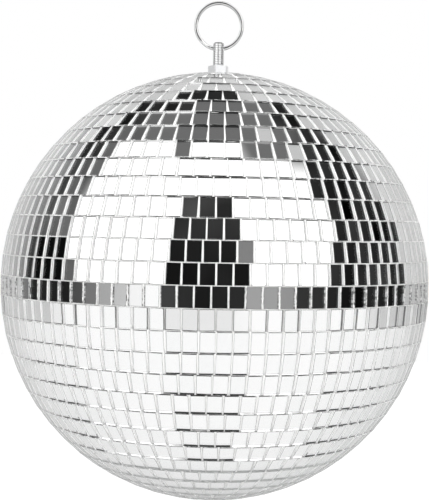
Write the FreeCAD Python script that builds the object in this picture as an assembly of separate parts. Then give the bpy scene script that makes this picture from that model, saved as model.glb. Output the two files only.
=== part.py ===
import FreeCAD, Part
import math
import os
import random

# A 300 mm mirror ball that hangs from a split ring.
#
# Origin: the centre of the split ring, where the hook that carries the ball goes through.
# +Z is up, along the ball's own axis. The ring lies flat in the XZ plane and the front is -Y.
# Heights below named ..._HEIGHT are measured up from the centre of the ball. Millimetres.

# --- driving dimensions -------------------------------------------------------------------

# Split ring: two flat coils of one wire, joined where the wire steps from one to the other.
RING_OUTER_DIAMETER = 35.0
RING_WIRE_WIDTH = 2.5          # in the plane of the ring
RING_COIL_THICKNESS = 1.15     # across the plane of the ring, for each of the two coils
RING_COIL_GAP = 0.06
RING_WIRE_ROUNDING = 0.3
RING_STEP_AT = 232.0           # degrees from +X towards +Z, the middle of the step
RING_STEP_SPAN = 28.0          # degrees
RING_STEP_SECTIONS = 9
RING_END_SPAN = 2.5            # degrees between a wire end and the step beside it

# Hanger stud: M8, with a cross-hole for the ring and annular threads on the part that shows.
STUD_DIAMETER = 7.96
STUD_TOP_HEIGHT = 171.7
STUD_BOTTOM_HEIGHT = 116.2
STUD_CHAMFER = 0.9
STUD_HOLE_DIAMETER = 4.0
STUD_HOLE_HEIGHT = 167.5
THREAD_PITCH = 1.25
THREAD_DEPTH = 0.68
THREAD_CREST = 0.16            # flat left at each crest and root
RING_SEAT = 0.25               # the cross-hole's axis stands this much above the wire's middle

# Nuts and washers, all M8.
NUT_ACROSS_FLATS = 13.0
NUT_THICKNESS = 6.5
NUT_BORE_DIAMETER = 8.1
NUT_TURN = 15.5                # degrees from -Y towards +X, the way one flat faces
NUT_CHAMFER_SLOPE = math.tan(math.radians(30.0))
WASHER_DIAMETER = 16.0
WASHER_HOLE_DIAMETER = 8.4
WASHER_THICKNESS = 1.6
PLATE_DIAMETER = 40.0
PLATE_THICKNESS = 2.0

# Ball: mirror tiles on a bed of glue, over a hollow moulded core in two halves.
BALL_RADIUS = 149.8            # to the middle of a tile's outer face; tile corners reach 150
TILE_THICKNESS = 1.8
TILE_WIDTH = 9.1
TILE_HEIGHT = 13.0
TILE_PITCH = 10.3              # round a row, middle to middle
LEAST_JOINT = 0.4              # between neighbours, at the end of a tile nearer the pole
ROW_COUNT = 33
ROW_SPACING = 5.264            # degrees of latitude
TILE_TILT = 0.42               # degrees, the spread of how far a tile is off true
TILE_TILT_LIMIT = 1.1
TILE_TWIST = 0.5               # degrees, the spread of how far a tile is turned in its face
TILE_SHIFT = 0.07              # the spread of how far a tile is out of place
TILE_SEED = 12

# Where a joint of each row stands, in tile pitches towards +X from the front (-Y),
# from the bottom row to the top one. The rows were laid one by one and don't line up.
ROW_STAGGER = (0.0, 0.4, 0.75, 0.1, 0.55, 0.9, 0.3, 0.65, 0.4,
               0.2, -0.25, -0.37, -0.03, 0.09, 0.14, 0.11,
               -0.18, 0.08, 0.29, 0.5, 0.01, -0.16, -0.34, 0.46, 0.46, 0.46,
               -0.4, 0.31, -0.1, 0.4, 0.15, -0.3, 0.25)

TILE_GLUE_GAP = 0.15           # between the backs of the tiles and the round bed of glue
GLUE_THICKNESS = 0.45
GLUE_CORE_GAP = 0.05
POLE_OPENING_RADIUS = 8.3      # of the glue, round the washer at the top
BOTTOM_DISC_RADIUS = 7.4

CORE_WALL = 2.5
CROWN_FLAT_DROP = 0.22         # how far the flat for the washer is cut into the core
CROWN_BOSS_RADIUS = 22.0
CROWN_BOSS_HEIGHT = 137.0      # underside of the boss inside the crown
CROWN_HOLE_RADIUS = 4.25
LIP_HEIGHT = 6.0               # of the lower half's lip, inside the upper half
LIP_THICKNESS = 1.15
LIP_CLEARANCE = 0.1

# --- derived places -----------------------------------------------------------------------

RING_MEAN_RADIUS = (RING_OUTER_DIAMETER - RING_WIRE_WIDTH) / 2.0
STUD_HOLE_Z = -RING_MEAN_RADIUS + RING_SEAT
BALL_Z = STUD_HOLE_Z - STUD_HOLE_HEIGHT

TILE_BACK_RADIUS = BALL_RADIUS - TILE_THICKNESS
GLUE_RADIUS = TILE_BACK_RADIUS - TILE_GLUE_GAP
GLUE_INNER_RADIUS = GLUE_RADIUS - GLUE_THICKNESS
CORE_RADIUS = GLUE_INNER_RADIUS - GLUE_CORE_GAP
CORE_INNER_RADIUS = CORE_RADIUS - CORE_WALL
CROWN_FLAT_HEIGHT = CORE_RADIUS - CROWN_FLAT_DROP

OUTER_WASHER_HEIGHT = CROWN_FLAT_HEIGHT
OUTER_NUT_HEIGHT = OUTER_WASHER_HEIGHT + WASHER_THICKNESS
PLATE_HEIGHT = CROWN_BOSS_HEIGHT - PLATE_THICKNESS
INNER_WASHER_HEIGHT = PLATE_HEIGHT - WASHER_THICKNESS
INNER_NUT_HEIGHT = INNER_WASHER_HEIGHT - NUT_THICKNESS
LOCK_NUT_HEIGHT = INNER_NUT_HEIGHT - NUT_THICKNESS

Vector = FreeCAD.Vector
Rotation = FreeCAD.Rotation
Placement = FreeCAD.Placement
UP = Vector(0, 0, 1)


def save(node, shape):
    """Write one named piece, or one group of separate pieces, to its own file."""
    for solid in shape.Solids:
        if not solid.isValid() or solid.Volume <= 0.0:
            raise ValueError(node + " has a solid that is not sound")
    shape.exportStep("parts/" + node + ".step")
    volume = sum(solid.Volume for solid in shape.Solids)
    print(node, len(shape.Solids), "solids", round(volume, 1), "mm3")


def in_ball(shape):
    """Move a shape made about the centre of the ball to its place under the ring."""
    shape.translate(Vector(0, 0, BALL_Z))
    return shape


def on_sphere(radius, height):
    """Distance from the axis of a sphere's surface at a height above its centre."""
    return math.sqrt(radius ** 2 - height ** 2)


def turned(edges):
    """Solid of revolution about Z from the edges of an outline in the XZ plane, X >= 0."""
    outline = Part.Face(Part.Wire(Part.__sortEdges__(edges)))
    solid = outline.revolve(Vector(0, 0, 0), UP, 360.0)
    if solid.Volume < 0.0:
        solid.reverse()
    return solid


def line(start, end):
    """Edge between two (distance from axis, height) points."""
    return Part.LineSegment(Vector(start[0], 0, start[1]), Vector(end[0], 0, end[1])).toShape()


def lines(points):
    """Edges through a list of (distance from axis, height) points."""
    return [line(start, end) for start, end in zip(points, points[1:])]


def sphere_arc(radius, start, end):
    """Edge along a sphere's outline between two (distance from axis, height) points on it."""
    first = math.atan2(start[1], start[0])
    last = math.atan2(end[1], end[0])
    middle = (first + last) / 2.0
    return Part.Arc(Vector(start[0], 0, start[1]),
                    Vector(radius * math.cos(middle), 0, radius * math.sin(middle)),
                    Vector(end[0], 0, end[1])).toShape()


def flat_ring(outer_radius, inner_radius, height, thickness):
    """Flat washer with its lower face at a height."""
    base = Vector(0, 0, height)
    disc = Part.makeCylinder(outer_radius, thickness, base, UP)
    return disc.cut(Part.makeCylinder(inner_radius, thickness, base, UP))


def around(angle, distance, height):
    """Point at an angle from -Y towards +X, a distance from the axis and a height."""
    turn = math.radians(angle)
    return Vector(distance * math.sin(turn), -distance * math.cos(turn), height)


# --- split ring ---------------------------------------------------------------------------

def wire_section(angle, offset):
    """Rounded outline of the ring's wire at an angle round the ring, its middle at Y = offset."""
    half_width = RING_WIRE_WIDTH / 2.0
    half_thickness = RING_COIL_THICKNESS / 2.0
    rounding = RING_WIRE_ROUNDING
    diagonal = rounding * (1.0 - math.sqrt(0.5))
    edges = []
    last = None
    for sign_x, sign_y in ((1, -1), (1, 1), (-1, 1), (-1, -1)):
        on_y = Vector(RING_MEAN_RADIUS + sign_x * (half_width - rounding),
                      offset + sign_y * half_thickness, 0)
        on_x = Vector(RING_MEAN_RADIUS + sign_x * half_width,
                      offset + sign_y * (half_thickness - rounding), 0)
        corner = Vector(RING_MEAN_RADIUS + sign_x * (half_width - diagonal),
                        offset + sign_y * (half_thickness - diagonal), 0)
        first, second = (on_y, on_x) if sign_x * sign_y < 0 else (on_x, on_y)
        if last is not None:
            edges.append(Part.LineSegment(last, first).toShape())
        edges.append(Part.Arc(first, corner, second).toShape())
        last = second
    edges.append(Part.LineSegment(last, edges[0].Vertexes[0].Point).toShape())
    section = Part.Wire(edges)
    section.rotate(Vector(0, 0, 0), Vector(0, -1, 0), angle)
    return section


def split_ring():
    """Two flat coils side by side, and the short step of wire that joins them."""
    offset = (RING_COIL_THICKNESS + RING_COIL_GAP) / 2.0
    step_start = RING_STEP_AT - RING_STEP_SPAN / 2.0
    step_end = RING_STEP_AT + RING_STEP_SPAN / 2.0
    coil_span = 360.0 - RING_STEP_SPAN - RING_END_SPAN
    axis = Vector(0, -1, 0)
    front = Part.Face(wire_section(step_end + RING_END_SPAN, -offset))
    front = front.revolve(Vector(0, 0, 0), axis, coil_span)
    back = Part.Face(wire_section(step_end, offset))
    back = back.revolve(Vector(0, 0, 0), axis, coil_span)
    sections = []
    for index in range(RING_STEP_SECTIONS):
        share = index / (RING_STEP_SECTIONS - 1.0)
        eased = -math.cos(math.pi * share)
        sections.append(wire_section(step_start + share * RING_STEP_SPAN, offset * eased))
    step = Part.makeLoft(sections, True, True)
    return front.fuse([step, back]).removeSplitter()


# --- stud, nuts, washers and plate --------------------------------------------------------

def hanger_stud():
    """Chamfered stud with annular threads from the outer nut up, drilled across along X."""
    radius = STUD_DIAMETER / 2.0
    nut_top = OUTER_NUT_HEIGHT + NUT_THICKNESS
    flank = (THREAD_PITCH - 2.0 * THREAD_CREST) / 2.0
    points = [(0.0, STUD_BOTTOM_HEIGHT), (radius - STUD_CHAMFER, STUD_BOTTOM_HEIGHT),
              (radius, STUD_BOTTOM_HEIGHT + STUD_CHAMFER)]
    height = nut_top
    while height + THREAD_PITCH < STUD_TOP_HEIGHT - STUD_CHAMFER:
        points.append((radius, height + THREAD_CREST))
        points.append((radius - THREAD_DEPTH, height + THREAD_CREST + flank))
        points.append((radius - THREAD_DEPTH, height + 2.0 * THREAD_CREST + flank))
        points.append((radius, height + THREAD_PITCH))
        height += THREAD_PITCH
    points += [(radius, STUD_TOP_HEIGHT - STUD_CHAMFER),
               (radius - STUD_CHAMFER, STUD_TOP_HEIGHT), (0.0, STUD_TOP_HEIGHT),
               (0.0, STUD_BOTTOM_HEIGHT)]
    stud = turned(lines(points))
    drill = Part.makeCylinder(STUD_HOLE_DIAMETER / 2.0, 2.0 * STUD_DIAMETER,
                              Vector(-STUD_DIAMETER, 0, STUD_HOLE_HEIGHT), Vector(1, 0, 0))
    return stud.cut(drill)


def nut(height):
    """Hexagon nut with its lower face at a height, chamfered at both faces."""
    corner = NUT_ACROSS_FLATS / 2.0 / math.cos(math.radians(30.0))
    outline = [around(NUT_TURN + 30.0 + 60.0 * side, corner, height) for side in range(7)]
    prism = Part.Face(Part.makePolygon(outline)).extrude(Vector(0, 0, NUT_THICKNESS))
    flat = NUT_ACROSS_FLATS / 2.0
    drop = (corner - flat) * NUT_CHAMFER_SLOPE
    top = height + NUT_THICKNESS
    chamfers = turned(lines([(0.0, height), (flat, height), (corner, height + drop),
                             (corner, top - drop), (flat, top), (0.0, top), (0.0, height)]))
    bore = Part.makeCylinder(NUT_BORE_DIAMETER / 2.0, NUT_THICKNESS, Vector(0, 0, height), UP)
    return prism.common(chamfers).cut(bore)


def washer(height):
    return flat_ring(WASHER_DIAMETER / 2.0, WASHER_HOLE_DIAMETER / 2.0, height, WASHER_THICKNESS)


# --- core and glue ------------------------------------------------------------------------

def core_upper():
    """Upper half of the core, with a flat and a thick boss at the crown for the stud."""
    flat_radius = on_sphere(CORE_RADIUS, CROWN_FLAT_HEIGHT)
    boss_top = on_sphere(CORE_INNER_RADIUS, CROWN_BOSS_RADIUS)
    rebate_height = LIP_HEIGHT + 2.0 * LIP_CLEARANCE
    rebate_inner = on_sphere(CORE_INNER_RADIUS, rebate_height)
    rebate_outer = CORE_INNER_RADIUS + LIP_THICKNESS + LIP_CLEARANCE
    edges = [sphere_arc(CORE_RADIUS, (CORE_RADIUS, 0.0), (flat_radius, CROWN_FLAT_HEIGHT))]
    edges += lines([(flat_radius, CROWN_FLAT_HEIGHT), (CROWN_HOLE_RADIUS, CROWN_FLAT_HEIGHT),
                    (CROWN_HOLE_RADIUS, CROWN_BOSS_HEIGHT),
                    (CROWN_BOSS_RADIUS, CROWN_BOSS_HEIGHT), (CROWN_BOSS_RADIUS, boss_top)])
    edges.append(sphere_arc(CORE_INNER_RADIUS, (CROWN_BOSS_RADIUS, boss_top),
                            (rebate_inner, rebate_height)))
    edges += lines([(rebate_inner, rebate_height), (rebate_outer, rebate_height),
                    (rebate_outer, 0.0), (CORE_RADIUS, 0.0)])
    return turned(edges)


def core_lower():
    """Lower half of the core, with a lip that stands up inside the upper half."""
    lip_outer = CORE_INNER_RADIUS + LIP_THICKNESS
    edges = [sphere_arc(CORE_RADIUS, (CORE_RADIUS, 0.0), (0.0, -CORE_RADIUS)),
             line((0.0, -CORE_RADIUS), (0.0, -CORE_INNER_RADIUS)),
             sphere_arc(CORE_INNER_RADIUS, (0.0, -CORE_INNER_RADIUS), (CORE_INNER_RADIUS, 0.0))]
    edges += lines([(CORE_INNER_RADIUS, 0.0), (CORE_INNER_RADIUS, LIP_HEIGHT),
                    (lip_outer, LIP_HEIGHT), (lip_outer, 0.0), (CORE_RADIUS, 0.0)])
    return turned(edges)


def glue_bed_upper():
    """Thin coat of glue over the upper half, open round the stud's washer."""
    outer_top = on_sphere(GLUE_RADIUS, POLE_OPENING_RADIUS)
    inner_top = on_sphere(GLUE_INNER_RADIUS, POLE_OPENING_RADIUS)
    return turned([
        sphere_arc(GLUE_RADIUS, (GLUE_RADIUS, 0.0), (POLE_OPENING_RADIUS, outer_top)),
        line((POLE_OPENING_RADIUS, outer_top), (POLE_OPENING_RADIUS, inner_top)),
        sphere_arc(GLUE_INNER_RADIUS, (POLE_OPENING_RADIUS, inner_top), (GLUE_INNER_RADIUS, 0.0)),
        line((GLUE_INNER_RADIUS, 0.0), (GLUE_RADIUS, 0.0))])


def glue_bed_lower():
    """Thin coat of glue over the lower half, closed at the bottom."""
    return turned([
        sphere_arc(GLUE_RADIUS, (GLUE_RADIUS, 0.0), (0.0, -GLUE_RADIUS)),
        line((0.0, -GLUE_RADIUS), (0.0, -GLUE_INNER_RADIUS)),
        sphere_arc(GLUE_INNER_RADIUS, (0.0, -GLUE_INNER_RADIUS), (GLUE_INNER_RADIUS, 0.0)),
        line((GLUE_INNER_RADIUS, 0.0), (GLUE_RADIUS, 0.0))])


# --- mirror tiles -------------------------------------------------------------------------

def tile_blank(pole_width, pole_side):
    """Flat tile, its outer face at Z = 0 and Y northwards, trimmed where it nears the pole."""
    half_height = TILE_HEIGHT / 2.0
    pole_y = pole_side * half_height
    corners = [Vector(-TILE_WIDTH / 2.0, -pole_y, 0), Vector(TILE_WIDTH / 2.0, -pole_y, 0),
               Vector(pole_width / 2.0, pole_y, 0), Vector(-pole_width / 2.0, pole_y, 0)]
    face = Part.Face(Part.makePolygon(corners + corners[:1]))
    return face.extrude(Vector(0, 0, -TILE_THICKNESS))


def spread(width, limit):
    """Random amount with a bell-shaped spread, kept within a limit."""
    return max(-limit, min(limit, random.gauss(0.0, width)))


def mirror_row(row):
    """One row of separate tiles round the ball; row 0 is the equator."""
    latitude = math.radians(row * ROW_SPACING)
    pole_side = 1.0 if row >= 0 else -1.0
    middle_radius = BALL_RADIUS * math.cos(latitude)
    count = round(2.0 * math.pi * middle_radius / TILE_PITCH)
    end_radius = (TILE_BACK_RADIUS * math.cos(latitude)
                  - TILE_HEIGHT / 2.0 * abs(math.sin(latitude)))
    pole_width = min(TILE_WIDTH, 2.0 * math.pi * end_radius / count - LEAST_JOINT)
    blank = tile_blank(pole_width, pole_side)
    stagger = ROW_STAGGER[row + ROW_COUNT // 2]
    tiles = []
    for index in range(count):
        angle = 360.0 * (index + 0.5 + stagger) / count
        outward = around(angle, math.cos(latitude), math.sin(latitude))
        east = around(angle + 90.0, 1.0, 0.0)
        north = outward.cross(east)
        square = Rotation(east, north, outward, "ZXY")
        tilt = Rotation(Vector(1, 0, 0), spread(TILE_TILT, TILE_TILT_LIMIT))
        lean = Rotation(Vector(0, 1, 0), spread(TILE_TILT, TILE_TILT_LIMIT))
        twist = Rotation(UP, spread(TILE_TWIST, 2.0 * TILE_TWIST))
        place = (outward * BALL_RADIUS + east * spread(TILE_SHIFT, 2.0 * TILE_SHIFT)
                 + north * spread(TILE_SHIFT, 2.0 * TILE_SHIFT))
        tile = blank.copy()
        tile.Placement = Placement(place, square.multiply(tilt).multiply(lean).multiply(twist))
        tiles.append(tile)
    return Part.makeCompound(tiles)


def bottom_mirror():
    """Round mirror that closes the rows at the lowest point of the ball."""
    return Part.makeCylinder(BOTTOM_DISC_RADIUS, TILE_THICKNESS, Vector(0, 0, -BALL_RADIUS), UP)


# --- the whole object ---------------------------------------------------------------------

os.makedirs("parts", exist_ok=True)
random.seed(TILE_SEED)

save("split_ring", split_ring())
save("hanger_stud", in_ball(hanger_stud()))
save("outer_nut", in_ball(nut(OUTER_NUT_HEIGHT)))
save("outer_washer", in_ball(washer(OUTER_WASHER_HEIGHT)))
save("spreader_plate", in_ball(flat_ring(PLATE_DIAMETER / 2.0, WASHER_HOLE_DIAMETER / 2.0,
                                         PLATE_HEIGHT, PLATE_THICKNESS)))
save("inner_washer", in_ball(washer(INNER_WASHER_HEIGHT)))
save("inner_nut", in_ball(nut(INNER_NUT_HEIGHT)))
save("lock_nut", in_ball(nut(LOCK_NUT_HEIGHT)))
save("core_upper", in_ball(core_upper()))
save("core_lower", in_ball(core_lower()))
save("glue_bed_upper", in_ball(glue_bed_upper()))
save("glue_bed_lower", in_ball(glue_bed_lower()))
save("bottom_mirror", in_ball(bottom_mirror()))
for number in range(ROW_COUNT):
    save("mirror_row_%02d" % (number + 1), in_ball(mirror_row(number - ROW_COUNT // 2)))
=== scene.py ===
import math
import random

import bmesh
import bpy
from mathutils import Matrix, Vector, noise


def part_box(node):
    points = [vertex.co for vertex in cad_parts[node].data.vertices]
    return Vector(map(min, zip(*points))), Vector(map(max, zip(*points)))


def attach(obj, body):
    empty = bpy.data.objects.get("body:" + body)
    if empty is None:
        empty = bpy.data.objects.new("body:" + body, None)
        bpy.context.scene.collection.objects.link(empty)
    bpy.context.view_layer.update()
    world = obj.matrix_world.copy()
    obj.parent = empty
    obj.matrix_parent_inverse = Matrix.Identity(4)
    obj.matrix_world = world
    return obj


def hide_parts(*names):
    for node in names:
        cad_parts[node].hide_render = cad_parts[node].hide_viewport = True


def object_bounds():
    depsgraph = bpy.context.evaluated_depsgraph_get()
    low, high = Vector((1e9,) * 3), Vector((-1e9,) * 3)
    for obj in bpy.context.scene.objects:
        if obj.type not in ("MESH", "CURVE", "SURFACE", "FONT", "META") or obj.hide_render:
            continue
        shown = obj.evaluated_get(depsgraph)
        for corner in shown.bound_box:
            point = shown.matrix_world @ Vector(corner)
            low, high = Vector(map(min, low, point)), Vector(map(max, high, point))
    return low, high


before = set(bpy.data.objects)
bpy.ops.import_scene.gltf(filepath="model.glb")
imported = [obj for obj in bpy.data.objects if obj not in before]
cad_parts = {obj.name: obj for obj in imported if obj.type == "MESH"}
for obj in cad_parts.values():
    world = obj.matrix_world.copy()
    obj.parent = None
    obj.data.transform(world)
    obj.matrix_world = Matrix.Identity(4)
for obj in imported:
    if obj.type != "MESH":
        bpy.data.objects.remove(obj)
cad_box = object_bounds()

MM = 0.001
UP = Vector((0, 0, 1))
scene = bpy.context.scene
scene.view_settings.view_transform = "Standard"

# --- places, from the CAD model -----------------------------------------------------------

ROW_NODES = sorted(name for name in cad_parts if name.startswith("mirror_row_"))
EQUATOR = len(ROW_NODES) // 2
core_low, core_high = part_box("core_lower")
CORE_RADIUS = (core_high.x - core_low.x) / 2
BALL_CENTRE = Vector((0, 0, core_low.z + CORE_RADIUS))

# --- camera -------------------------------------------------------------------------------

CAMERA_DISTANCE = 0.8978        # from the middle of the ball
CAMERA_HEIGHT_ANGLE = 2.81      # degrees above the middle of the ball
CAMERA_LENS = 90.92             # mm
CAMERA_ROLL = 1.0               # degrees, so the ball hangs a little off plumb in the picture
CAMERA_PITCH = 1.595            # degrees above the middle of the ball

rise = math.radians(CAMERA_HEIGHT_ANGLE)
towards_camera = Vector((0, -math.cos(rise), math.sin(rise)))
camera = bpy.data.objects.new("camera", bpy.data.cameras.new("camera"))
scene.collection.objects.link(camera)
camera.data.lens = CAMERA_LENS
camera.data.clip_start = 0.05
aim = (-towards_camera).to_track_quat("-Z", "Y").to_matrix().to_4x4()
aim = aim @ Matrix.Rotation(math.radians(CAMERA_ROLL), 4, "Z")
aim = aim @ Matrix.Rotation(math.radians(CAMERA_PITCH), 4, "X")
camera.matrix_world = Matrix.Translation(BALL_CENTRE + towards_camera * CAMERA_DISTANCE) @ aim
scene.camera = camera


# --- shader helpers -----------------------------------------------------------------------

MIRROR_SHARE = 0.92             # of the light that a mirror tile gives back


def shown(value):
    """Linear light that shows as this brightness, where 1 is white."""
    return value / 12.92 if value <= 0.04045 else ((value + 0.055) / 1.055) ** 2.4


def shown_by_tile(value):
    """Linear light that a mirror tile shows as this brightness."""
    return shown(value) / MIRROR_SHARE


class Field:
    """A number that varies over a surface or over the sky, as an output of a node."""

    def __init__(self, tree, socket):
        self.tree = tree
        self.socket = socket

    def math(self, operation, *others):
        node = self.tree.nodes.new("ShaderNodeMath")
        node.operation = operation
        for slot, value in zip(node.inputs, (self, *others)):
            plug(self.tree, value, slot)
        return Field(self.tree, node.outputs[0])

    def __add__(self, other):
        return self.math("ADD", other)

    def __sub__(self, other):
        return self.math("SUBTRACT", other)

    def __mul__(self, other):
        return self.math("MULTIPLY", other)

    def __truediv__(self, other):
        return self.math("DIVIDE", other)

    def flipped(self):
        return self.math("MULTIPLY_ADD", -1.0, 1.0)

    def rises(self, at, soft):
        """0 below a value and 1 above it, with a soft edge."""
        node = self.tree.nodes.new("ShaderNodeMapRange")
        node.interpolation_type = "SMOOTHSTEP"
        plug(self.tree, self - at, node.inputs["Value"])
        node.inputs["From Min"].default_value = -soft
        node.inputs["From Max"].default_value = soft
        return Field(self.tree, node.outputs["Result"])

    def falls(self, at, soft):
        return self.rises(at, soft).flipped()

    def within(self, low, high, soft):
        return self.rises(low, soft) * self.falls(high, soft)

    def towards(self, other, share):
        """This value where share is 0, and the other where it is 1."""
        node = self.tree.nodes.new("ShaderNodeMix")
        node.data_type = "FLOAT"
        plug(self.tree, share, node.inputs[0])
        plug(self.tree, self, node.inputs[2])
        plug(self.tree, other, node.inputs[3])
        return Field(self.tree, node.outputs[0])

    def ramp(self, low, high, stops):
        """Light from a list of (value, brightness that a mirror tile shows there) stops."""
        node = self.tree.nodes.new("ShaderNodeValToRGB")
        plug(self.tree, (self - low) / (high - low), node.inputs[0])
        points = node.color_ramp.elements
        places = [(at - low) / (high - low) for at, value in stops]
        points[0].position, points[1].position = places[0], places[-1]
        for place in places[1:-1]:
            points.new(place)
        for point, (at, value) in zip(points, stops):
            point.color = (shown_by_tile(value),) * 3 + (1.0,)
        return Field(self.tree, node.outputs[0])

    def line_through(self, *points):
        """Height of a line of straight runs through (value, height) points."""
        total = points[0][1]
        for (start, low), (end, high) in zip(points, points[1:]):
            node = self.tree.nodes.new("ShaderNodeMapRange")
            plug(self.tree, self, node.inputs["Value"])
            node.inputs["From Min"].default_value = start
            node.inputs["From Max"].default_value = end
            node.inputs["To Max"].default_value = high - low
            total = Field(self.tree, node.outputs["Result"]) + total
        return total


def plug(tree, value, slot):
    if isinstance(value, Field):
        tree.links.new(value.socket, slot)
    else:
        slot.default_value = value


# --- studio: white panels, a dark doorway round them, a pale wall behind, a pale floor ----
# Angles are in degrees as seen from the ball, and what they bound has soft edges.

PANEL_LIGHT = 1.35
WALL = 0.80                    # this and the next five: the brightness shown in a mirror tile
OVERHEAD = 0.42
CEILING_LAMP = 0.76
STAND_LAMP = 0.50
NEAR_FLOOR = 0.89
SIDE_FLOOR = 0.77
STAND_TOP = 46.0               # degrees
FILL_LIGHT = 3.0               # soft light from all round that no mirror shows
FILL_SHARE = 0.7


def studio():
    world = bpy.data.worlds.new("studio")
    scene.world = world
    world.use_nodes = True
    tree = world.node_tree
    tree.nodes.clear()
    place = tree.nodes.new("ShaderNodeTexCoord").outputs["Generated"]
    split = tree.nodes.new("ShaderNodeSeparateXYZ")
    tree.links.new(place, split.inputs[0])
    x, y, z = (Field(tree, socket) for socket in split.outputs)
    to_front = y * -1.0
    degrees = math.degrees(1.0)
    side = x.math("ARCTAN2", to_front) * degrees            # 0 at the camera, + to its right
    height = z.math("ARCSINE") * degrees
    from_axis = to_front.math("ARCCOSINE") * degrees        # 0 at the camera, 180 behind the ball
    overhead = z.math("MAXIMUM", 0.02)

    def patchy(scale, low, high):
        node = tree.nodes.new("ShaderNodeTexNoise")
        node.inputs["Scale"].default_value = scale
        node.inputs["Detail"].default_value = 1.0
        tree.links.new(place, node.inputs["Vector"])
        return Field(tree, node.outputs["Fac"]).ramp(0.3, 0.7, ((0.3, low), (0.7, high)))

    # The doorway: dark all round the panels, paler on the left above the height of the ball.
    across, ahead = x / overhead, to_front / overhead       # on a level ceiling
    door = patchy(9.0, 0.01, 0.22)
    door = door.towards(shown(0.05), side.falls(-60.0, 5.0) * height.falls(14.0, 2.0))
    door_left = side.falls(-60.0, 5.0) * height.within(14.5, 64.0, 2.0)
    door_left = door_left * from_axis.falls(109.5, 1.0)
    low_strip = side.within(-86.0, -76.5, 1.0) * height.falls(9.0, 1.0)
    door_left = door_left.math("MAXIMUM", low_strip)
    door = door.towards(patchy(7.0, 0.30, 0.44), door_left)
    ceiling = height.rises(61.0, 1.5) * from_axis.falls(107.0, 1.5)
    ceiling_patch = across.within(-0.14, 0.34, 0.02) * ahead.within(-0.58, 0.0, 0.02)
    ceiling = ceiling.math("MAXIMUM", ceiling_patch)
    door = door.towards(shown_by_tile(OVERHEAD), ceiling)
    # The wall behind the ball, which darkens towards its end on the left.
    left = side.falls(0.0, 1.0)
    left_edge = from_axis.rises(115.5, 2.0).towards(from_axis.rises(121.5, 1.5),
                                                    height.rises(35.0, 2.0))
    right_edge = (from_axis + height.rises(17.0, 2.0) * 3.4).rises(117.8, 0.8)
    wall_edge = right_edge.towards(left_edge, left)
    shaded = from_axis.ramp(116.0, 152.0, (
        (116.0, 0.50), (123.0, 0.53), (127.0, 0.62), (135.0, 0.69), (145.0, 0.77), (152.0, 0.80)))
    wall = patchy(3.0, WALL - 0.05, WALL + 0.05).towards(shaded, left * height.falls(35.0, 3.0))
    wall_top = height - side.within(158.0, 171.0, 2.0) * 4.4 + side.within(-156.0, 0.0, 2.0) * 5.0
    light = door.towards(wall, wall_edge * wall_top.falls(51.8, 1.0))
    # The panels in front and overhead. They stand upright, so their ends lean out with height.
    wide = height.within(51.5, 200.0, 2.0)
    left_end = (height.math("MAXIMUM", 11.0) * -0.26 - 74.1 - height.rises(9.5, 1.5) * 10.5
                - wide * 8.0)
    right_end = height.math("MINIMUM", 34.0).math("MAXIMUM", 0.0) * 0.34 + 62.5 + wide * 24.0
    reach = side.rises(left_end, 0.8) * side.falls(right_end, 0.8)
    back_edge = across.line_through((-1.0, -0.12), (-0.7, -0.24), (-0.45, -0.03), (-0.32, 0.12),
                                    (-0.26, 0.24), (-0.2, 0.18), (0.2, 0.18), (0.25, 0.24),
                                    (0.7, 0.16), (0.84, 0.10), (1.0, 0.0))
    reach = reach * ahead.rises(back_edge, 0.02)
    light = light.towards(PANEL_LIGHT, reach)
    # Two small lamps on the ceiling, at the right.
    for beside, before in ((0.32, -0.06), (0.60, -0.02)):
        spot = (across.within(beside - 0.05, beside + 0.05, 0.01)
                * ahead.within(before - 0.04, before + 0.04, 0.01))
        light = light.towards(shown_by_tile(CEILING_LAMP), spot)
    # The camera and its stand, as a dark column that narrows upwards.
    lean = height.math("MAXIMUM", 0.0) / STAND_TOP
    stand = side.rises(lean * 6.0 - 25.0, 0.8) * side.falls(lean * -8.0 + 17.5, 0.8)
    stand = stand * height.falls(STAND_TOP, 0.8)
    stand_tone = height.ramp(-10.0, 50.0, ((-10.0, 0.11), (20.0, 0.14), (34.0, 0.22),
                                           (STAND_TOP, 0.34)))
    stand_tone = stand_tone * patchy(14.0, 0.55, 1.0)
    light = light.towards(stand_tone, stand)
    lamp = side.within(13.0, 19.5, 0.8) * height.within(11.0, 24.0, 1.0)
    light = light.towards(shown_by_tile(STAND_LAMP), lamp)
    # The foot of the walls, a narrow strip at the height of the ball.
    foot = side.ramp(-180.0, 180.0, (
        (-180.0, 0.80), (-124.0, 0.78), (-116.0, 0.38), (-110.0, 0.15), (-78.0, 0.11),
        (-66.0, 0.46), (-49.0, 0.75), (-40.0, 0.95), (-26.0, 0.98), (-24.5, 0.26), (-14.0, 0.17),
        (-5.0, 0.10), (11.0, 0.17), (15.0, 0.17), (16.5, 0.61), (33.0, 0.62), (41.0, 0.50),
        (43.0, 0.21), (60.0, 0.17), (72.0, 0.07), (80.0, 0.04), (90.0, 0.15), (105.0, 0.08),
        (117.0, 0.16), (119.0, 0.72), (180.0, 0.80)))
    light = light.towards(foot, height.falls(0.5, 0.6))
    # The floor, whitest in front and paler towards the wall behind.
    floor = to_front.ramp(-1.0, 1.0, (
        (-1.0, 0.72), (-0.93, 0.74), (-0.85, 0.79), (-0.75, 0.84), (-0.65, 0.865), (-0.5, 0.89),
        (-0.35, 0.91), (-0.2, 0.925), (0.0, 0.94), (0.27, 0.96), (1.0, 0.965)))
    near = side.within(-23.0, 15.0, 2.0) * height.rises(-17.0, 1.5)
    floor = floor.towards(shown_by_tile(NEAR_FLOOR), near)
    sides = side.math("ABSOLUTE").rises(92.0, 6.0) * height.rises(-12.0, 2.5)
    floor = floor.towards(shown_by_tile(SIDE_FLOOR), sides)
    light = light.towards(floor, height.falls(-7.5, 0.6))

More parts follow.
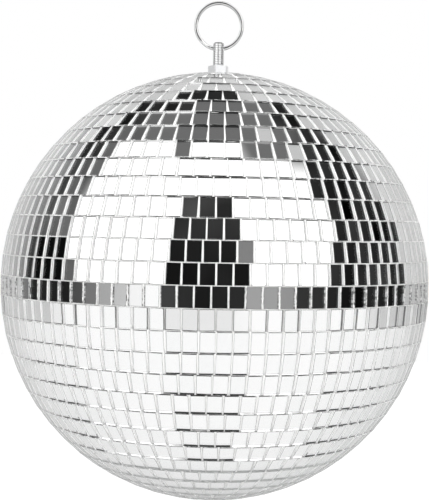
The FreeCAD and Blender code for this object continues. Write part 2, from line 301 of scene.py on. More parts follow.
    back = tree.nodes.new("ShaderNodeBackground")
    path = tree.nodes.new("ShaderNodeLightPath")
    seen, shone, through, scattered = (Field(tree, path.outputs[name]) for name in (
        "Is Camera Ray", "Is Glossy Ray", "Is Transmission Ray", "Diffuse Depth"))
    mirrored = shone.math("MAXIMUM", through) * scattered.math("LESS_THAN", 0.5)
    light = light.towards(FILL_LIGHT, mirrored.flipped() * FILL_SHARE)
    plug(tree, light.towards(1.0, seen), back.inputs["Color"])
    out = tree.nodes.new("ShaderNodeOutputWorld")
    tree.links.new(back.outputs[0], out.inputs["Surface"])


studio()


# --- materials ----------------------------------------------------------------------------

class Look:
    """A material with one Principled shader and the nodes that feed it."""

    def __init__(self, name, **values):
        self.material = bpy.data.materials.new(name)
        self.material.use_nodes = True
        self.tree = self.material.node_tree
        self.shader = self.tree.nodes["Principled BSDF"]
        self.place = self.tree.nodes.new("ShaderNodeTexCoord").outputs["Object"]
        for socket, value in values.items():
            slot = self.shader.inputs[socket.replace("_", " ")]
            slot.default_value = (*value, 1.0) if isinstance(value, tuple) else value

    def grain(self, scale, detail=2.0):
        """Noise in the object's own space; scale is in patches per metre."""
        node = self.tree.nodes.new("ShaderNodeTexNoise")
        node.inputs["Scale"].default_value = scale
        node.inputs["Detail"].default_value = detail
        self.tree.links.new(self.place, node.inputs["Vector"])
        return Field(self.tree, node.outputs["Fac"])

    def attribute(self, name):
        node = self.tree.nodes.new("ShaderNodeAttribute")
        node.attribute_name = name
        return Field(self.tree, node.outputs["Fac"])

    def colour(self, share, first, second):
        """Base colour that goes from one to the other as share goes from 0 to 1."""
        node = self.tree.nodes.new("ShaderNodeMix")
        node.data_type = "RGBA"
        plug(self.tree, share, node.inputs[0])
        node.inputs[6].default_value = (*first, 1.0)
        node.inputs[7].default_value = (*second, 1.0)
        self.tree.links.new(node.outputs[2], self.shader.inputs["Base Color"])

    def roughness(self, share, low, high):
        node = self.tree.nodes.new("ShaderNodeMapRange")
        plug(self.tree, share, node.inputs["Value"])
        node.inputs["To Min"].default_value = low
        node.inputs["To Max"].default_value = high
        self.tree.links.new(node.outputs[0], self.shader.inputs["Roughness"])

    def bump(self, height, depth):
        """Small relief; depth in metres."""
        node = self.tree.nodes.new("ShaderNodeBump")
        node.inputs["Distance"].default_value = depth
        plug(self.tree, height, node.inputs["Height"])
        self.tree.links.new(node.outputs[0], self.shader.inputs["Normal"])


def glass_look():
    look = Look("tile_glass", Transmission_Weight=1.0, Roughness=0.0, IOR=1.5)
    look.colour(look.attribute("tone"), (0.985, 0.992, 0.99), (1.0, 1.0, 1.0))
    return look.material


def silver_look():
    look = Look("tile_silver", Metallic=1.0, Roughness=0.0)
    look.colour(look.attribute("tone") * 0.7 + look.grain(350.0) * 0.3,
                (0.94, 0.94, 0.94), (0.985, 0.985, 0.985))
    return look.material


def glue_look():
    look = Look("white_glue", Metallic=0.0)
    look.colour(look.grain(900.0, 3.0), (0.71, 0.71, 0.70), (0.85, 0.85, 0.845))
    look.roughness(look.grain(1500.0), 0.25, 0.5)
    look.bump(look.grain(1400.0, 3.0), 0.0004)
    return look.material


def film_look():
    """Glue seen through the glass of the tile that it holds, painted whiter than the glue in the
    joints as painted light.
    """
    look = Look("glue_on_glass_painted_light", Roughness=0.7)
    # painted light: whiter than the glue in the joints, for light that the glass keeps from it
    look.colour(look.grain(1100.0, 2.0), (0.93, 0.93, 0.93), (0.99, 0.99, 0.99))
    return look.material


def cut_edge_look():
    """The fine ground edge that the cutting wheel leaves round the face of a tile."""
    look = Look("cut_tile_edge", Roughness=0.5)
    look.colour(look.grain(1500.0, 2.0), (0.09, 0.095, 0.093), (0.24, 0.25, 0.245))
    return look.material


def shaded_bare_edge_look():
    """The unglued upright edge of a tile, with the grey backing paint run over it, painted near
    black with the shade of the deep dry joint.
    """
    look = Look("bare_tile_edge_painted_shade", Roughness=0.55)
    # painted shade: the edge is near black for the shade in the deep, unglued joint
    look.colour(look.grain(700.0, 3.0), (0.02, 0.02, 0.02), (0.26, 0.26, 0.26))
    return look.material


def rough_shaded_edge_look():
    """The snapped edge of the small tiles low on the ball, painted grey with the shade of the level
    joints.
    """
    look = Look("rough_tile_edge_painted_shade", Roughness=0.5)
    # painted shade: grey for the shade in the level joints low on the ball
    look.colour(look.grain(800.0, 3.0), (0.28, 0.285, 0.283), (0.66, 0.67, 0.665))
    return look.material


def patchy_edge_look():
    """An edge that the glue has reached only in places."""
    look = Look("patchy_tile_edge", Roughness=0.6)
    look.colour(look.grain(650.0, 3.0).rises(0.5, 0.12), (0.10, 0.10, 0.10), (0.95, 0.95, 0.95))
    return look.material


def nut_look():
    look = Look("dull_zinc", Metallic=0.75)
    look.colour(look.grain(600.0, 4.0), (0.74, 0.75, 0.76), (0.90, 0.90, 0.905))
    look.roughness(look.grain(1500.0, 3.0), 0.24, 0.42)
    look.bump(look.grain(1300.0, 4.0), 0.00012)
    return look.material


def plastic_look():
    look = Look("core_plastic")
    look.colour(look.grain(120.0, 3.0), (0.78, 0.78, 0.77), (0.86, 0.86, 0.85))
    look.roughness(look.grain(2500.0), 0.38, 0.55)
    look.bump(look.grain(4000.0, 2.0), 0.00005)
    return look.material


def plated_look():
    look = Look("zinc_plate", Metallic=1.0)
    look.colour(look.grain(500.0, 3.0), (0.88, 0.885, 0.89), (0.97, 0.97, 0.975))
    look.roughness(look.grain(1800.0, 3.0), 0.10, 0.20)
    look.bump(look.grain(2500.0, 3.0), 0.00002)
    return look.material


def threaded_look():
    """Plated thread, bright on its crests and darker in its roots with grime and painted shade."""
    look = Look("zinc_plated_thread_painted_shade", Metallic=1.0)
    # painted shade: the roots of the thread go darker with the depth of the groove, held in tone
    grain_and_painted_shade = look.grain(900.0, 3.0) * 0.15 + look.attribute("tone").rises(0.7, 0.3) * 0.7
    look.colour(grain_and_painted_shade, (0.99, 0.99, 0.99), (0.45, 0.45, 0.455))
    look.roughness(look.grain(1800.0, 3.0), 0.10, 0.20)
    return look.material


def wire_look():
    """Drawn wire, bright on its flats and darkened on its rounded edges with painted shade."""
    look = Look("bright_wire_painted_shade", Metallic=1.0)
    # painted shade: the rounded edges of the wire go dark, held in tone
    grain_and_painted_shade = look.grain(300.0, 3.0) * 0.1 + look.attribute("tone").rises(0.80, 0.12) * 0.9
    look.colour(grain_and_painted_shade, (0.98, 0.98, 0.98), (0.12, 0.12, 0.125))
    look.roughness(look.grain(900.0, 3.0), 0.14, 0.24)
    look.bump(look.grain(1600.0, 3.0), 0.00001)
    return look.material


TILE_MATERIALS = tuple(make() for make in (
    glass_look, silver_look, film_look, cut_edge_look, shaded_bare_edge_look, patchy_edge_look,
    rough_shaded_edge_look))
GLASS, SILVER, FILM, CUT_EDGE, SHADED_BARE_EDGE, PATCHY_EDGE, ROUGH_SHADED_EDGE = TILE_MATERIALS
GLUE, PLASTIC, PLATED, THREADED, DULL_PLATED, WIRE = (make() for make in (
    glue_look, plastic_look, plated_look, threaded_look, nut_look, wire_look))

for node, material in (("core_upper", PLASTIC), ("core_lower", PLASTIC), ("spreader_plate", PLATED),
                       ("inner_washer", PLATED), ("inner_nut", PLATED), ("lock_nut", PLATED),
                       ("glue_bed_upper", GLUE), ("glue_bed_lower", GLUE),
                       ("hanger_stud", PLATED), ("outer_nut", PLATED), ("outer_washer", PLATED),
                       ("split_ring", WIRE), ("bottom_mirror", SILVER)):
    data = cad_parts[node].data
    data.materials.clear()
    data.materials.append(material)


# --- mesh helpers -------------------------------------------------------------------------

def add_piece(name, points, faces, materials, body, replaced=()):
    """New object from points in metres and faces of (corner numbers, material number, tone)."""
    data = bpy.data.meshes.new(name)
    data.from_pydata([tuple(p) for p in points], [], [face[0] for face in faces])
    for material in materials:
        data.materials.append(material)
    data.polygons.foreach_set("material_index", [face[1] for face in faces])
    tone = data.attributes.new("tone", "FLOAT", "FACE")
    tone.data.foreach_set("value", [face[2] for face in faces])
    data.validate()
    piece = bpy.data.objects.new(name, data)
    scene.collection.objects.link(piece)
    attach(piece, body)
    if replaced:
        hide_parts(*replaced)
    return piece


# --- mirror tiles -------------------------------------------------------------------------

CUT_LEAST = 0.04 * MM          # width of the fine ground edge along a side of a tile's face
CUT_MOST = 0.09 * MM
CUT_DEPTH = 0.04 * MM
CLEAR_DEPTH = 0.45 * MM        # how far down a tile's upright sides stay clear of glue
NIPPED_SHARE = 0.10            # of the tiles' corners, broken off a little when the tiles were cut
NIP_LEAST, NIP_MOST = 0.25 * MM, 0.8 * MM
TILE_SEED = 7
SOUTH_WEST, SOUTH_EAST, NORTH_EAST, NORTH_WEST = range(4)
SOUTH, EAST, NORTH, WEST = range(4)             # each side starts at the corner of its number
NIP_COUNTS_AS = (SOUTH, EAST, EAST, WEST)       # the short side across each nipped corner


class Tile:
    """The corners of one tile, outer and inner: south-west, south-east, north-east, north-west."""

    def __init__(self, points):
        middle = sum(points, Vector()) / len(points)
        outward = (middle - BALL_CENTRE).normalized()
        ranked = sorted(points, key=lambda p: (p - middle).dot(outward))
        inner, outer = ranked[:4], ranked[4:]
        self.normal = (sum(outer, Vector()) - sum(inner, Vector())).normalized()
        self.east = UP.cross(self.normal).normalized()
        self.north = self.normal.cross(self.east)
        self.middle = middle
        self.outer = self.in_order(outer)
        self.inner = self.in_order(inner)
        self.angle = math.atan2(outward.x, -outward.y)

    def in_order(self, corners):
        middle = sum(corners, Vector()) / 4
        placed = {}
        for corner in corners:
            offset = corner - middle
            placed[offset.dot(self.east) > 0, offset.dot(self.north) > 0] = corner
        return [placed[False, False], placed[True, False], placed[True, True], placed[False, True]]


def tiles_of(node):
    """The tiles of a CAD row, in order round the ball."""
    mesh = bmesh.new()
    mesh.from_mesh(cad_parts[node].data)
    bmesh.ops.remove_doubles(mesh, verts=mesh.verts, dist=1e-6)
    waiting = set(mesh.verts)
    tiles = []
    while waiting:
        group, edge_of = set(), [waiting.pop()]
        while edge_of:
            vert = edge_of.pop()
            group.add(vert)
            for edge in vert.link_edges:
                other = edge.other_vert(vert)
                if other in waiting:
                    waiting.discard(other)
                    edge_of.append(other)
        tiles.append(Tile([vert.co.copy() for vert in group]))
    mesh.free()
    return sorted(tiles, key=lambda tile: tile.angle)


def outline_of(tile):
    """Pairs of outer and inner points round a tile, with a few corners nipped off, and the
    side that starts at each pair: south, east, north or west."""
    outline = []
    for k in range(4):
        outer, inner = tile.outer[k], tile.inner[k]
        if random.random() >= NIPPED_SHARE:
            outline.append((outer, inner, k))
            continue
        back = (tile.outer[k - 1] - outer).normalized() * random.uniform(NIP_LEAST, NIP_MOST)
        ahead = (tile.outer[(k + 1) % 4] - outer).normalized() * random.uniform(NIP_LEAST, NIP_MOST)
        outline.append((outer + back, inner + back, NIP_COUNTS_AS[k]))
        outline.append((outer + ahead, inner + ahead, k))
    return outline


def add_tile(points, faces, tile, east, west, ends):
    """Glass slab with a silvered back and a fine ground edge round its face. Its east and
    west sides are clear glass near the face and have their own material below, and its south
    and north ends have one material all the way down."""
    start = len(points)
    tone = random.random()
    outline = outline_of(tile)
    count = len(outline)
    middle = sum(tile.outer, Vector()) / 4
    west_cut, east_cut, south_cut, north_cut = (random.uniform(CUT_LEAST, CUT_MOST)
                                                for side in range(4))
    for outer, inner, side in outline:
        offset = outer - middle
        in_from_side = -east_cut if offset.dot(tile.east) > 0 else west_cut
        in_from_end = -north_cut if offset.dot(tile.north) > 0 else south_cut
        points.append(outer + tile.east * in_from_side + tile.north * in_from_end)
    for depth in (CUT_DEPTH, CLEAR_DEPTH):
        points.extend(outer + (inner - outer).normalized() * depth
                      for outer, inner, side in outline)
    points.extend(inner for outer, inner, side in outline)
    faces.append((tuple(range(start, start + count)), TILE_MATERIALS.index(GLASS), tone))
    faces.append((tuple(range(start + 4 * count - 1, start + 3 * count - 1, -1)),
                  TILE_MATERIALS.index(SILVER), tone))
    for k, (outer, inner, side) in enumerate(outline):
        after = (k + 1) % count
        lower = {EAST: east, WEST: west}.get(side, ends)
        upper = GLASS if side in (EAST, WEST) else ends
        for ring, material in enumerate((CUT_EDGE, upper, lower)):
            a, b = start + count * ring, start + count * (ring + 1)
            faces.append(((a + k, b + k, b + after, a + after),
                          TILE_MATERIALS.index(material), tone))


DRY_ROWS = (EQUATOR - 1,)      # the glue stands low in the upright joints of these rows
BARE_EAST_SHARE = 0.6          # of the upright edges in those rows
BARE_WEST_SHARE = 0.2
PATCHY_SHARE = 0.8             # of the upright edges in the row over the equator
ROUGH_ROWS = range(8)          # low on the ball, where the tiles have rough level ends, painted grey as shade in the level joints
random.seed(TILE_SEED)
rows = [tiles_of(node) for node in ROW_NODES]
for number, (node, tiles) in enumerate(zip(ROW_NODES, rows)):
    points, faces = [], []
    for tile in tiles:
        east = west = FILM
        if number in DRY_ROWS:
            east = SHADED_BARE_EDGE if random.random() < BARE_EAST_SHARE else FILM
            west = SHADED_BARE_EDGE if random.random() < BARE_WEST_SHARE else FILM
        elif number == EQUATOR:
            east, west = (PATCHY_EDGE if random.random() < PATCHY_SHARE else FILM for k in range(2))
        add_tile(points, faces, tile, east, west, ROUGH_SHADED_EDGE if number in ROUGH_ROWS else GLASS)
    add_piece("tiles_" + node[-2:], points, faces, TILE_MATERIALS, "ball", (node,))


# --- glue in the joints -------------------------------------------------------------------

BEAD_STATIONS = 7              # along an upright joint
EQUATOR_STATIONS = 19
BEAD_OVERRUN = 0.02            # of the tile's height, past each end of an upright joint
BEAD_SHOULDER = 0.32           # of the joint's width, from the glass to where the glue dips
BEAD_SHOULDER_DIP = 0.06       # of the tile's thickness
BEAD_MIDDLE_DIP = 0.08
BEAD_FOOT = -0.10              # of the tile's thickness, where the glue meets its bed
BEAD_INSET = 0.06              # of the joint's width, between the glue and the glass
BEAD_RISE = 0.66               # of the tile's thickness, how high the glue stands in a joint
BEAD_SPREAD = 0.16             # of the tile's thickness, how much that differs by place
BEAD_LIMIT = 0.93              # of the tile's thickness, the highest that it stands
EQUATOR_RISE = 0.66            # the glue is rough in the row over the equator
EQUATOR_SPREAD = 0.75
DRY_RISE = 0.12
RING_RISE = 0.55               # the same in the level joints
RING_SPREAD = 0.18
FULL_RING_RISE = 0.80          # the level joints are filled higher from these latitudes down
FULL_FROM = math.radians(-43.0)
FULL_AT = math.radians(-50.0)
RING_HALF_WIDTH = 0.25 * MM
RING_SHOULDER = 0.9            # of the half width
RING_SHOULDER_DIP = 0.14 * MM
RING_WANDER = 0.04 * MM
RING_STEP = 3.4 * MM
LUMPS = 190.0                  # of the glue's surface, per metre
ROUGH_LUMPS = 520.0            # the same at the equator


def lump(point, offset=0.0, scale=LUMPS):
    """Smooth uneven amount from -1 to 1 that differs from place to place."""
    return noise.noise(point * scale + Vector((offset, 0, 0)))


def add_tube(points, faces, sections, closed):
    """Skin over sections that all have the same number of points, with flat ends unless closed."""
    start = len(points)
    size = len(sections[0])
    for section in sections:
        points.extend(section)
    count = len(sections)
    for s in range(count if closed else count - 1):
        a, b = start + s * size, start + (s + 1) % count * size
        for k in range(size):
            after = (k + 1) % size
            faces.append(((a + k, a + after, b + after, b + k), 0, 0.0))
    if not closed:
        last = start + (count - 1) * size
        faces.append((tuple(range(start + size - 1, start - 1, -1)), 0, 0.0))
        faces.append((tuple(range(last, last + size)), 0, 0.0))


def upright_bead(tile, after, rise, spread, scale, stations):
    """Sections of the glue between one tile and the next one to the east."""
    sections = []
    for station in range(stations):
        share = (1.0 + 2.0 * BEAD_OVERRUN) * station / (stations - 1) - BEAD_OVERRUN
        walls = []
        for here, south, north in ((tile, SOUTH_EAST, NORTH_EAST), (after, SOUTH_WEST, NORTH_WEST)):
            walls.append((here.inner[south].lerp(here.inner[north], share),
                          here.outer[south].lerp(here.outer[north], share)))

        def at(across, high):
            across = BEAD_INSET + (1.0 - 2.0 * BEAD_INSET) * across
            left, right = (inner + (outer - inner) * high for inner, outer in walls)
            return left.lerp(right, across)

        place = walls[0][1]
        left, middle, right = (min(rise + spread * lump(place, 7.0 * k, scale), BEAD_LIMIT)
                               for k in range(3))
        sections.append([at(0.0, BEAD_FOOT), at(1.0, BEAD_FOOT), at(1.0, right),
                         at(1.0 - BEAD_SHOULDER, (middle + right) / 2 - BEAD_SHOULDER_DIP),
                         at(0.5, middle - BEAD_MIDDLE_DIP),
                         at(BEAD_SHOULDER, (middle + left) / 2 - BEAD_SHOULDER_DIP),
                         at(0.0, left)])
    return sections


def ring_bead(latitude):
    """Sections of the glue all round the ball between two rows."""
    sections = []
    foot = TILE_BACK_RADIUS + BEAD_FOOT * TILE_THICKNESS
    count = round(math.tau * foot * math.cos(latitude) / RING_STEP)
    full = min(max((latitude - FULL_FROM) / (FULL_AT - FULL_FROM), 0.0), 1.0)
    rise = RING_RISE + (FULL_RING_RISE - RING_RISE) * full
    for step in range(count):
        angle = math.tau * step / count
        level = Vector((math.sin(angle), -math.cos(angle), 0))
        out = level * math.cos(latitude) + UP * math.sin(latitude)
        north = UP * math.cos(latitude) - level * math.sin(latitude)
        high = min(rise + RING_SPREAD * lump(out * foot), BEAD_LIMIT)
        crest = TILE_BACK_RADIUS + TILE_THICKNESS * high
        shoulder = crest - RING_SHOULDER_DIP
        shift = RING_WANDER * lump(out * foot, 3.0)
        sections.append([BALL_CENTRE + out * reach + north * (shift + across * RING_HALF_WIDTH)
                         for across, reach in ((1.0, foot), (-1.0, foot),
                                               (-RING_SHOULDER, shoulder), (0.0, crest),
                                               (RING_SHOULDER, shoulder))])
    return sections


TILE_BACK_RADIUS = (sum(rows[EQUATOR][0].inner, Vector()) / 4 - BALL_CENTRE).length
TILE_THICKNESS = (rows[EQUATOR][0].outer[0] - rows[EQUATOR][0].inner[0]).length
row_latitudes = [sum(math.asin((tile.middle - BALL_CENTRE).normalized().z) for tile in tiles)
                 / len(tiles) for tiles in rows]
for half, numbers in (("lower", range(EQUATOR)), ("upper", range(EQUATOR, len(rows)))):
    points, faces = [], []
    for number in numbers:
        tiles = rows[number]
        rise, spread, scale, stations = BEAD_RISE, BEAD_SPREAD, LUMPS, BEAD_STATIONS
        if number in DRY_ROWS:
            rise = DRY_RISE
        elif number == EQUATOR:
            rise, spread = EQUATOR_RISE, EQUATOR_SPREAD
            scale, stations = ROUGH_LUMPS, EQUATOR_STATIONS
        for tile, after in zip(tiles, tiles[1:] + tiles[:1]):
            add_tube(points, faces, upright_bead(tile, after, rise, spread, scale, stations), False)
        if number + 1 < len(rows):
            middle = (row_latitudes[number] + row_latitudes[number + 1]) / 2
            add_tube(points, faces, ring_bead(middle), True)
    beads = add_piece("glue_joints_" + half, points, faces, (GLUE,), "ball")
    for face in beads.data.polygons:
        face.use_smooth = True


# --- ring, stud, nut and washer -----------------------------------------------------------

WIRE_WIDTH = 2.5 * MM
COIL_THICKNESS = 1.15 * MM
COIL_GAP = 0.06 * MM
WIRE_SQUARENESS = 1.9          # 2 is an ellipse, more is squarer
WIRE_SIDES = 28
STEP_AT = 232.0                # degrees from +X towards +Z, the middle of the wire's step
STEP_SPAN = 28.0
END_SPAN = 2.5
END_OVERRUN = 0.4              # degrees, past each end of the wire
END_SHRINK = 0.86              # of the wire's width, at its eased ends
SWEEP_STEP = 2.0               # degrees
THREAD_PITCH = 1.25 * MM
THREAD_DEPTH = 0.40 * MM
THREAD_SIDES = 40
THREAD_LEVELS = 12             # in one turn of the thread
STUD_CHAMFER = 0.9 * MM
STUD_HOLE_RADIUS = 2.0 * MM
STUD_HOLE_ABOVE_WIRE = 0.25 * MM
STUD_HOLE_SIDES = 32
NUT_TURN = 15.5                # degrees from -Y towards +X, the way one flat faces
NUT_HALF_FLATS = 6.5 * MM
NUT_BORE_RADIUS = 4.05 * MM
NUT_BORE_CHAMFER = 0.5 * MM
NUT_EDGE_ROUNDING = 0.35 * MM
NUT_FACE_MARGIN = 0.15 * MM
NUT_RIM_HEIGHT = 0.05 * MM
CHAMFER_SLOPE = math.tan(math.radians(30.0))
WASHER_BORE_RADIUS = 4.2 * MM
WASHER_EDGE = 0.25 * MM
WASHER_SIDES = 96
DISC_SIDES = 64
DISC_BEVEL = 0.5 * MM
DISC_BEVEL_DEPTH = 0.3 * MM
DISC_TONE = 0.5
POLE_GLUE_STEPS = 72
POLE_GLUE_SIDES = 10
POLE_GLUE_WIDTH_SPREAD = 0.22
POLE_GLUE_HEIGHT_SPREAD = 0.35
CROWN_GLUE_OUT, CROWN_GLUE_UP = 0.45 * MM, 1.1 * MM        # from the washer's rim and its foot
CROWN_GLUE_HALF_WIDTH, CROWN_GLUE_HALF_HEIGHT = 0.62 * MM, 0.75 * MM
BOTTOM_GLUE_OUT = 0.35 * MM                                # from the disc's rim
BOTTOM_GLUE_HALF_WIDTH, BOTTOM_GLUE_HALF_HEIGHT = 0.42 * MM, 0.6 * MM


def crowned_outline(half_width, half_height, power, steps):
    """Section of the flattened wire as (across, up) pairs, anticlockwise."""
    outline = []
    for step in range(steps):
        angle = math.tau * step / steps
        across, up = math.cos(angle), math.sin(angle)
        outline.append((math.copysign(abs(across) ** (2 / power), across) * half_width,
                        math.copysign(abs(up) ** (2 / power), up) * half_height))
    return outline


def smooth_by_angle(piece, degrees):
    """Smooth shading, with edges sharper than this kept sharp."""
    bpy.context.view_layer.update()
    data = piece.data
    mesh = bmesh.new()
    mesh.from_mesh(data)
    bmesh.ops.recalc_face_normals(mesh, faces=mesh.faces)
    for face in mesh.faces:
        face.smooth = True
    for edge in mesh.edges:
        if len(edge.link_faces) == 2:
            edge.smooth = edge.calc_face_angle() < math.radians(degrees)
    mesh.to_mesh(data)
    mesh.free()


def split_ring():
    """One wire that runs twice round the ring, in two coils side by side."""
    low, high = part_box("split_ring")
    mean_radius = (high.x - low.x) / 2 - WIRE_WIDTH / 2
    offset = (COIL_THICKNESS + COIL_GAP) / 2
    coil = 360.0 - STEP_SPAN - END_SPAN
    start = STEP_AT + STEP_SPAN / 2 + END_SPAN
    total = 2 * coil + STEP_SPAN
    count = round(total / SWEEP_STEP)
    outline = crowned_outline(WIRE_WIDTH / 2, COIL_THICKNESS / 2, WIRE_SQUARENESS, WIRE_SIDES)
    sections = []
    for step in range(-1, count + 2):
        along = min(max(step, 0), count) / count * total
        share = min(max((along - coil) / STEP_SPAN, 0.0), 1.0)
        place = -offset * math.cos(math.pi * share)
        shrink = END_SHRINK if step in (-1, count + 1) else 1.0
        overrun = -END_OVERRUN if step < 0 else END_OVERRUN if step > count else 0.0
        angle = math.radians(start + along + overrun)
        out = Vector((math.cos(angle), 0, math.sin(angle)))
        sections.append([out * (mean_radius + across * shrink) + Vector((0, place + up * shrink, 0))
                         for across, up in outline])
    points, faces = [], []
    add_tube(points, faces, sections, False)
    # how near each face lies to the wire's edge, as the tone that paints shade on the rounded edges
    near_edge = [abs(outline[k][0] + outline[(k + 1) % WIRE_SIDES][0]) / WIRE_WIDTH
                 for k in range(WIRE_SIDES)]
    faces = [(corners, material, near_edge[number % WIRE_SIDES])
             for number, (corners, material, tone) in enumerate(faces)]
    piece = add_piece("split_ring_wire", points, faces, (WIRE,), "ring",
                      ("split_ring",))
    smooth_by_angle(piece, 50.0)


def turned_grid(name, columns, materials, replaced, angle):
    """Closed piece from upright columns of points that stand in a ring round the axis."""
    points, faces = [], []
    size = len(columns[0])
    for column in columns:
        points.extend(column)
    count = len(columns)
    for c in range(count):
        a, b = c * size, (c + 1) % count * size
        for k in range(size):
            after = (k + 1) % size
            faces.append(((a + k, b + k, b + after, a + after), 0, 0.0))
    piece = add_piece(name, points, faces, materials, "ball", replaced)
    smooth_by_angle(piece, angle)


def around(angle, distance, height):
    """Point at a distance from the axis, its angle in radians from -Y towards +X."""
    return Vector((math.sin(angle) * distance, -math.cos(angle) * distance, height))


def hanger_stud():
    """Stud with a helical thread, drilled across for the ring."""
    low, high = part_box("hanger_stud")
    radius = (high.x - low.x) / 2
    turn = THREAD_SIDES
    levels = round((high.z - low.z) / (THREAD_PITCH / THREAD_LEVELS))
    points, faces, depths = [], [], []
    for level in range(levels + 1):
        height = low.z + (high.z - low.z) * level / levels
        ease = min(height - low.z, high.z - height)
        limit = radius - max(0.0, STUD_CHAMFER - ease)
        for step in range(turn):
            phase = ((height - low.z) / THREAD_PITCH - step / turn) % 1.0
            groove = 0.5 - 0.5 * math.cos(math.tau * phase)
            depths.append(groove)
            points.append(around(math.tau * step / turn,
                                 min(limit, radius - THREAD_DEPTH * groove), height))
    for level in range(levels):
        a = level * turn
        for step in range(turn):
            after = (step + 1) % turn
            # the groove depth goes out as the tone, which paints shade into the roots of the thread
            faces.append(((a + step, a + after, a + turn + after, a + turn + step), 0,
                          (depths[a + step] + depths[a + turn + step]) / 2))
    faces.append((tuple(range(turn - 1, -1, -1)), 0, 0.0))
    faces.append((tuple(range(levels * turn, levels * turn + turn)), 0, 0.0))
    blank = add_piece("hanger_stud_threaded", points, faces, (THREADED,), "ball",
                      ("hanger_stud",))
    ring_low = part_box("split_ring")[0]
    hole_height = ring_low.z + WIRE_WIDTH / 2 + STUD_HOLE_ABOVE_WIRE
    drill = bpy.data.meshes.new("drill")
    sides, reach = STUD_HOLE_SIDES, 2 * radius
    drill_points = [Vector((x, STUD_HOLE_RADIUS * math.cos(math.tau * k / sides),
                            hole_height + STUD_HOLE_RADIUS * math.sin(math.tau * k / sides)))
                    for x in (-reach, reach) for k in range(sides)]
    drill_faces = [(k, (k + 1) % sides, sides + (k + 1) % sides, sides + k) for k in range(sides)]
    drill_faces += [tuple(range(sides - 1, -1, -1)), tuple(range(sides, 2 * sides))]
    drill.from_pydata(drill_points, [], drill_faces)
    tool = bpy.data.objects.new("drill", drill)
    scene.collection.objects.link(tool)
    cut = blank.modifiers.new("cross_hole", "BOOLEAN")
    cut.operation, cut.solver, cut.object = "DIFFERENCE", "EXACT", tool
    bpy.context.view_layer.update()
    result = bpy.data.meshes.new_from_object(blank.evaluated_get(
        bpy.context.evaluated_depsgraph_get()))
    blank.modifiers.clear()
    blank.data = result
    bpy.data.objects.remove(tool)
    smooth_by_angle(blank, 40.0)


def outer_nut():
    """Hexagon nut, its corners rounded and both faces chamfered."""
    low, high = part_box("outer_nut")
    flat, bore, chamfer = NUT_HALF_FLATS, NUT_BORE_RADIUS, NUT_BORE_CHAMFER
    hub_distance = (flat - NUT_EDGE_ROUNDING) / math.cos(math.radians(30.0))
    columns = []
    for corner in range(6):
        middle = NUT_TURN + 30.0 + 60.0 * corner
        hub = around(math.radians(middle), hub_distance, 0)
        rim = [hub + around(math.radians(middle - 30.0 + 60.0 * k / 6), NUT_EDGE_ROUNDING, 0)
               for k in range(7)]
        next_hub = around(math.radians(middle + 60.0), hub_distance, 0)
        far = next_hub + around(math.radians(middle + 30.0), NUT_EDGE_ROUNDING, 0)
        rim += [rim[-1].lerp(far, k / 12) for k in range(1, 12)]
        for place in rim:
            radius = place.length
            direction = place / radius
            drop = max(0.0, radius - flat) * CHAMFER_SLOPE + NUT_RIM_HEIGHT
            profile = [(bore + chamfer, low.z), (flat - NUT_FACE_MARGIN, low.z),
                       (radius, low.z + drop), (radius, high.z - drop),
                       (flat - NUT_FACE_MARGIN, high.z), (bore + chamfer, high.z),
                       (bore, high.z - chamfer), (bore, low.z + chamfer)]
            columns.append([direction * reach + Vector((0, 0, height))
                            for reach, height in profile])
    turned_grid("outer_nut_hexagon", columns, (DULL_PLATED,), ("outer_nut",), 25.0)


def outer_washer():
    """Flat washer with rounded rims."""
    low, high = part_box("outer_washer")
    outer, bore, edge = (high.x - low.x) / 2, WASHER_BORE_RADIUS, WASHER_EDGE
    near = edge * 0.3
    profile = [(bore, low.z), (outer - edge, low.z), (outer - near, low.z + near),
               (outer, low.z + edge), (outer, high.z - edge), (outer - near, high.z - near),
               (outer - edge, high.z), (bore + edge, high.z), (bore, high.z - edge)]
    columns = [[around(math.tau * step / WASHER_SIDES, reach, height) for reach, height in profile]
               for step in range(WASHER_SIDES)]
    turned_grid("outer_washer_round", columns, (PLATED,), ("outer_washer",), 35.0)


def bottom_mirror():
    """Round mirror that closes the last row, with a bevelled face and a silvered back."""
    low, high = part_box("bottom_mirror")
    radius = (high.x - low.x) / 2
    points, faces = [], []
    rings = ((radius - DISC_BEVEL, low.z), (radius, low.z + DISC_BEVEL_DEPTH), (radius, high.z))
    for reach, height in rings:
        points.extend(around(-math.tau * step / DISC_SIDES, reach, height)
                      for step in range(DISC_SIDES))
    for ring, material in enumerate((GLASS, FILM)):
        a, b = ring * DISC_SIDES, (ring + 1) * DISC_SIDES
        for step in range(DISC_SIDES):
            after = (step + 1) % DISC_SIDES
            faces.append(((a + step, b + step, b + after, a + after),
                          TILE_MATERIALS.index(material), DISC_TONE))
    faces.append((tuple(range(DISC_SIDES)), TILE_MATERIALS.index(GLASS), DISC_TONE))
    faces.append((tuple(range(3 * DISC_SIDES - 1, 2 * DISC_SIDES - 1, -1)),
                  TILE_MATERIALS.index(SILVER), DISC_TONE))
    piece = add_piece("bottom_mirror_disc", points, faces, TILE_MATERIALS, "ball",
                      ("bottom_mirror",))
    smooth_by_angle(piece, 30.0)


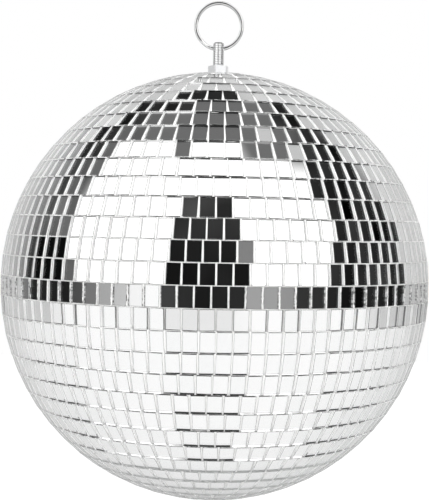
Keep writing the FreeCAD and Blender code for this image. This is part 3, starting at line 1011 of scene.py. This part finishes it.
def pole_glue(name, mean_radius, middle_height, half_width, half_height):
    """Lumpy ring of glue round a pole, between the last row and what closes it."""
    sections = []
    for step in range(POLE_GLUE_STEPS):
        angle = math.tau * step / POLE_GLUE_STEPS
        place = around(angle, mean_radius, middle_height)
        wide = half_width * (1.0 + POLE_GLUE_WIDTH_SPREAD * lump(place, 1.0, ROUGH_LUMPS))
        tall = half_height * (1.0 + POLE_GLUE_HEIGHT_SPREAD * lump(place, 5.0, ROUGH_LUMPS))
        turns = [math.tau * k / POLE_GLUE_SIDES for k in range(POLE_GLUE_SIDES)]
        sections.append([around(angle, mean_radius + wide * math.cos(turn),
                                middle_height + tall * math.sin(turn)) for turn in turns])
    points, faces = [], []
    add_tube(points, faces, sections, True)
    piece = add_piece(name, points, faces, (GLUE,), "ball")
    smooth_by_angle(piece, 60.0)


split_ring()
hanger_stud()
outer_nut()
outer_washer()
bottom_mirror()
washer_low, washer_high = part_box("outer_washer")
pole_glue("glue_at_crown", washer_high.x + CROWN_GLUE_OUT, washer_low.z + CROWN_GLUE_UP,
          CROWN_GLUE_HALF_WIDTH, CROWN_GLUE_HALF_HEIGHT)
disc_low, disc_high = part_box("bottom_mirror")
pole_glue("glue_at_bottom", disc_high.x + BOTTOM_GLUE_OUT, (disc_low.z + disc_high.z) / 2,
          BOTTOM_GLUE_HALF_WIDTH, BOTTOM_GLUE_HALF_HEIGHT)


# --- floor --------------------------------------------------------------------------------

FLOOR_BELOW = 0.55              # under the lowest point of the ball
FLOOR_HALF_SIZE = 6.0


def add_floor():
    """Plain white floor far below, which no mirror shows."""
    level = cad_box[0].z - FLOOR_BELOW
    data = bpy.data.meshes.new("floor")
    size = FLOOR_HALF_SIZE
    data.from_pydata([(-size, -size, level), (size, -size, level), (size, size, level),
                      (-size, size, level)], [], [(0, 1, 2, 3)])
    look = Look("pale_floor", Roughness=0.9, Emission_Strength=1.0,
                Emission_Color=(1.0, 1.0, 1.0))
    look.colour(look.grain(3.0), (0.01, 0.01, 0.01), (0.015, 0.015, 0.015))
    data.materials.append(look.material)
    floor = bpy.data.objects.new("floor", data)
    scene.collection.objects.link(floor)
    floor.visible_glossy = False
    floor.visible_transmission = False


add_floor()
